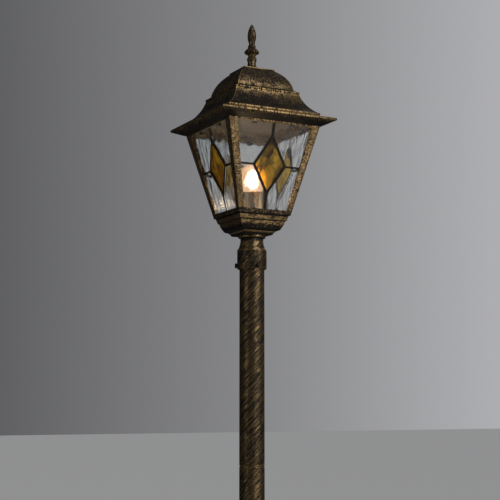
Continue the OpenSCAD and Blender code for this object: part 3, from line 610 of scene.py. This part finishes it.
def rippled_pane(node_name, side, material, slot, seed):
    """Hand-rolled glass: the CAD outline cut into a fine net, then both faces drawn into upright ripples."""
    piece = copy_of(node_name, node_name + "_rippled")
    across, up, outward = face_axes(side)
    depth, fine_share = RIPPLES[side]
    points = [v.co.copy() for v in piece.data.vertices]
    only(piece)
    bpy.ops.object.mode_set(mode="EDIT")
    for direction in (across, up):
        reach = [p.dot(direction) for p in points]
        first, last = min(reach), max(reach)
        count = int((last - first) / PANE_CELL)
        for i in range(1, count):
            place = direction * (first + i * (last - first) / count)
            bpy.ops.mesh.select_all(action="SELECT")
            bpy.ops.mesh.bisect(plane_co=place, plane_no=direction)
    bpy.ops.object.mode_set(mode="OBJECT")
    for v in piece.data.vertices:
        x, y = v.co.dot(across) / MM, v.co.dot(up) / MM
        wave = ripple_at(x, y, BROAD_RIPPLE, seed) + fine_share * ripple_at(x, y, FINE_RIPPLE, seed)
        back = ripple_at(x, y, BACK_RIPPLE, seed)
        if v.normal.dot(outward) > 0:
            v.co -= outward * depth * (MEAN_DEPTH + wave)
        else:
            v.co += outward * depth * (MEAN_DEPTH + back)
    finish_piece(piece, "head", slot, material, node_name, angle=SMOOTH_GLASS)


def line_inside(cast, material, above_mm):
    """Faces of a hollow casting that look inwards or down, above that level, get a second material."""
    cast.data.materials.append(material)
    for face in cast.data.polygons:
        outwards = face.normal.xy.dot(face.center.xy)
        inside = outwards < LOOKS_INWARDS * face.center.xy.length or face.normal.z < LOOKS_DOWN
        if face.center.z > above_mm * MM and inside:
            face.material_index = 1


def paint(node_name, material):
    """The material of a CAD node that shows as it is."""
    nodes[node_name].data.materials.clear()
    nodes[node_name].data.materials.append(material)


def levels_of(node_name):
    """Foot and top of a CAD node, in millimetres above the floor."""
    return [corner.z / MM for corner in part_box(node_name)]


def radius_of(node_name):
    """Radius of an upright round CAD node, in millimetres."""
    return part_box(node_name)[1].x / MM


# ------------------------------------------------------------------ the lamp

make_camera()
make_room()
make_floor()
for softbox in SOFTBOXES:
    make_softbox(*softbox)

# strokes of the brush: how many in a millimetre, per axis
STROKES_UP = (0.7, 0.7, 0.13)
STROKES_ACROSS = (0.13, 0.13, 0.8)
STROKES_MOTTLED = (0.36, 0.36, 0.75)
STROKES_FINE = (0.3, 0.3, 0.6)
STROKES_WOUND = (0.7, 0.7, 0.065)
WINDING = 1 / 0.018  # radians per metre, which is 45 degrees on the tube's radius of 18 mm

collar_low, collar_high = levels_of("post_collar")
cup_low, cup_high = levels_of("cup")
cage_low, cage_high = levels_of("cage_frame")
roof_low, roof_high = levels_of("roof_shell")
cap_plate_top = levels_of("cap_plate")[1]

bronze_tube = aged_bronze("aged_bronze_tube", STROKES_WOUND, 0.015, turn=WINDING, patches=0.1)
bronze_collar = aged_bronze(
    "aged_bronze_collar",
    STROKES_WOUND,
    [
        (collar_low, 0.03),
        (collar_low + 3, 0.0),
        (collar_low + 25, 0.0),
        (collar_low + 27.5, 0.1),
        (collar_low + 29.2, 0.1),
        (collar_low + 31, 0.0),
        (collar_low + 38, 0.08),
        (collar_high - 4, -0.1),
        (collar_high - 3, 0.08),
        (collar_high, 0.08),
    ],
    turn=WINDING,
    patches=0.16,
)
bronze_ring = aged_bronze("aged_bronze_ring", STROKES_ACROSS, 0.06)
bronze_roof = aged_bronze(
    "aged_bronze_roof",
    STROKES_UP,
    [
        (roof_low, -0.2),
        (roof_low + 6, 0.0),
        (roof_low + 8, 0.09),
        (roof_low + 19.4, 0.1),
        (roof_low + 21, -0.06),
        (roof_low + 36, -0.02),
        (roof_low + 44, 0.045),
        (roof_low + 51.6, 0.06),
        (roof_low + 53, -0.04),
        (roof_low + 55.2, -0.04),
        (roof_low + 56.4, 0.035),
        (roof_low + 66, 0.02),
        (roof_low + 74, -0.015),
        (roof_high, -0.015),
    ],
    hips=0.16,
    broken=[
        (roof_low, 0.0),
        (roof_low + 7, 0.4),
        (roof_low + 19.4, 0.5),
        (roof_low + 22, 0.0),
        (roof_low + 47, 0.0),
        (roof_low + 49, 0.7),
        (roof_low + 53, 0.6),
        (roof_low + 57, 0.1),
        (roof_high, 0.1),
    ],
)
bronze_cap = aged_bronze(
    "aged_bronze_cap",
    STROKES_UP,
    [(roof_high, -0.1), (roof_high + 0.8, 0.08), (cap_plate_top, 0.14)],
    hips=0.1,
)
bronze_finial = aged_bronze("aged_bronze_finial", STROKES_UP, 0.02)
bronze_cage = aged_bronze(
    "aged_bronze_cage",
    STROKES_MOTTLED,
    [
        (cage_low, -0.25),
        (cage_low + 0.8, 0.0),
        (cage_low + 6, -0.01),
        (cage_low + 7, 0.05),
        (cage_high, 0.065),
    ],
    broken=[(cage_low, 0.0), (cage_high - 13, 0.0), (cage_high - 10, 0.6), (cage_high, 0.6)],
)
bronze_cup = aged_bronze(
    "aged_bronze_cup",
    STROKES_FINE,
    [
        (cup_low, -0.1),
        (cup_low + 2.4, -0.08),
        (cup_low + 3.2, 0.2),
        (cup_low + 4.4, 0.2),
        (cup_low + 5.2, -0.2),
        (cup_low + 9, -0.1),
        (cup_low + 12, -0.03),
        (cup_low + 14.5, 0.05),
        (cup_low + 18.2, 0.09),
        (cup_low + 19, -0.3),
        (cup_low + 20, 0.08),
        (cup_low + 25, 0.06),
        (cup_high, -0.3),
    ],
    hips=0.08,
)
# inside of the roof: bare grey-brown casting, and painted light: far lighter than the black outside paint,
# standing in for the bulb's glow under the roof
bare_casting_and_painted_light = grainy(
    "bare_casting_and_painted_light", (0.2, 0.175, 0.145, 1), (0.36, 0.32, 0.27, 1), 0.6, metallic=0.3, size=1.5
)
screw_metal = grainy("dark_screw", (0.02, 0.017, 0.014, 1), (0.09, 0.065, 0.04, 1), 0.4, metallic=0.7)
zinc = grainy("zinc_steel", (0.42, 0.42, 0.4, 1), (0.6, 0.59, 0.56, 1), 0.35, metallic=1)
brass = grainy("brass", (0.5, 0.33, 0.1, 1), (0.7, 0.48, 0.18, 1), 0.3, metallic=1)
lead = grainy("black_lead", (0.012, 0.01, 0.009, 1), (0.04, 0.032, 0.026, 1), 0.42, metallic=0.5, size=2)
aluminium = grainy("bare_aluminium", (0.72, 0.69, 0.62, 1), (0.86, 0.83, 0.76, 1), 0.4, metallic=0.6)
porcelain = grainy(
    "glazed_porcelain",
    (0.2, 0.125, 0.08, 1),
    (0.86, 0.62, 0.36, 1),
    0.24,
    metallic=0.95,
    size=11,
    stretch=(1, 1, 0.12),
)
plastic = grainy("white_plastic", (0.7, 0.68, 0.62, 1), (0.78, 0.76, 0.7, 1), 0.45)
cap_metal = grainy("cap_metal", (0.5, 0.49, 0.46, 1), (0.7, 0.69, 0.65, 1), 0.3, metallic=1)
insulator = grainy("black_insulator", (0.02, 0.018, 0.016, 1), (0.04, 0.036, 0.032, 1), 0.3)

for name in ("foot_tube", "middle_tube", "upper_tube"):
    paint(name, bronze_tube)

EAVES_HEIGHT_MM = 16.5
# the roof's inner faces take that lighter casting colour, partly painted light for the bulb's glow under the
# roof
line_inside(soften("roof_shell", "roof", bronze_roof), bare_casting_and_painted_light, roof_low + EAVES_HEIGHT_MM)
soften("cap_plate", "roof", bronze_cap, width_mm=0.3)
soften("finial", "finial", bronze_finial, width_mm=0.3)
soften("cage_frame", "head", bronze_cage)
soften("cup", "head", bronze_cup)
soften("post_collar", "head", bronze_collar, width_mm=0.3)
soften("lower_coupler", "post", bronze_ring, width_mm=0.2)
soften("upper_coupler", "post", bronze_ring, width_mm=0.2)
soften("base_bell", "post", bronze_tube)

clear = water_glass("water_glass", (0.85, 0.87, 0.86, 1), 0.035, 0.45)
hazy = water_glass("hazy_water_glass", (0.96, 0.965, 0.965, 1), 0.08, 0.15)
amber = amber_glass("amber_glass", (1.0, 0.62, 0.045, 1), (0.17, 0.08, 0.03, 1))
deep_amber = amber_glass("deep_amber_glass", (0.74, 0.4, 0.02, 1), (0.3, 0.13, 0.02, 1))
yellow_amber = amber_glass("yellow_amber_glass", (0.8, 0.52, 0.03, 1), (0.36, 0.2, 0.025, 1))
# seed of the first pane's ripples, and what each further pane adds
CLEAR_SEEDS = (0, 3.7)
AMBER_SEEDS = (50, 5.1)
for number, side in enumerate(SIDES):
    sheet = hazy if side == "front" else clear
    seed = CLEAR_SEEDS[1] * number + CLEAR_SEEDS[0]
    rippled_pane("clear_glass_" + side, side, sheet, "water_glass", seed)
    sheet = {"front": amber, "left": deep_amber}.get(side, yellow_amber)
    seed = AMBER_SEEDS[1] * number + AMBER_SEEDS[0]
    rippled_pane("amber_diamond_" + side, side, sheet, "amber_glass", seed)

# threads, in millimetres: the bulb's coarse one, and the fine one of nipple and stud
BULB_PITCH, CAP_DEPTH, SHELL_DEPTH = 3.6, 0.5, 0.25
FINE_PITCH, FINE_DEPTH = 1, 0.45
PLAIN_TOP = 4
PLAIN_SHELL_FOOT = 6
SHELL_WALL = 0.6
cap_low, cap_high = levels_of("bulb_cap")
shell_low, shell_high = levels_of("lampholder_shell")
shell_bore = radius_of("lampholder_shell") - SHELL_WALL
cut_thread(
    "bulb_cap",
    "bulb",
    "cap_metal",
    cap_metal,
    radius_of("bulb_cap"),
    BULB_PITCH,
    CAP_DEPTH,
    cap_low + BULB_PITCH,
    cap_high - PLAIN_TOP,
)
cut_thread(
    "lampholder_shell",
    "head",
    "brass",
    brass,
    shell_bore,
    BULB_PITCH,
    SHELL_DEPTH,
    shell_low + PLAIN_SHELL_FOOT,
    shell_high - PLAIN_TOP,
)
cut_thread("nipple", "head", "brass", brass, radius_of("nipple"), FINE_PITCH, FINE_DEPTH)
cut_thread("finial_stud", "roof", "zinc_steel", zinc, radius_of("finial_stud"), FINE_PITCH, FINE_DEPTH)
glowing_drop("bulb_capsule", "bulb", "lit_capsule", lit_capsule())
soften("nipple_nut_lower", "head", zinc, 0.4, "zinc_steel")
soften("nipple_nut_upper", "head", zinc, 0.4, "zinc_steel")
soften("nipple_washer", "head", zinc, 0.2, "zinc_steel")
soften("finial_nut", "roof", zinc, 0.4, "zinc_steel")
soften("lampholder_body", "head", porcelain, 0.5, "glazed_porcelain")
soften("terminal_block", "post", plastic, 0.5, "white_plastic")

capsule_low, capsule_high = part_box("bulb_capsule")
capsule_middle = (capsule_low + capsule_high) / 2
envelope_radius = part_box("bulb_envelope")[1].x
plain = {
    "bulb_envelope": frosted_envelope(capsule_middle, envelope_radius),
    "bulb_stem": clear,
    "bulb_contact": insulator,
    "contact_spring": brass,
    "floor_plate": aluminium,
    "pane_clips": lead,
    "terminal_sleeves": brass,
    "earth_terminal": brass,
}
plain.update({n: zinc for n in ("cage_screws", "clip_screws", "terminal_screw")})
plain.update({n: screw_metal for n in nodes if "collar_screw" in n or "roof_screw" in n})
plain.update({"came_" + side: lead for side in SIDES})
for name, material in plain.items():
    paint(name, material)

bpy.context.scene.view_settings.view_transform = "Standard"
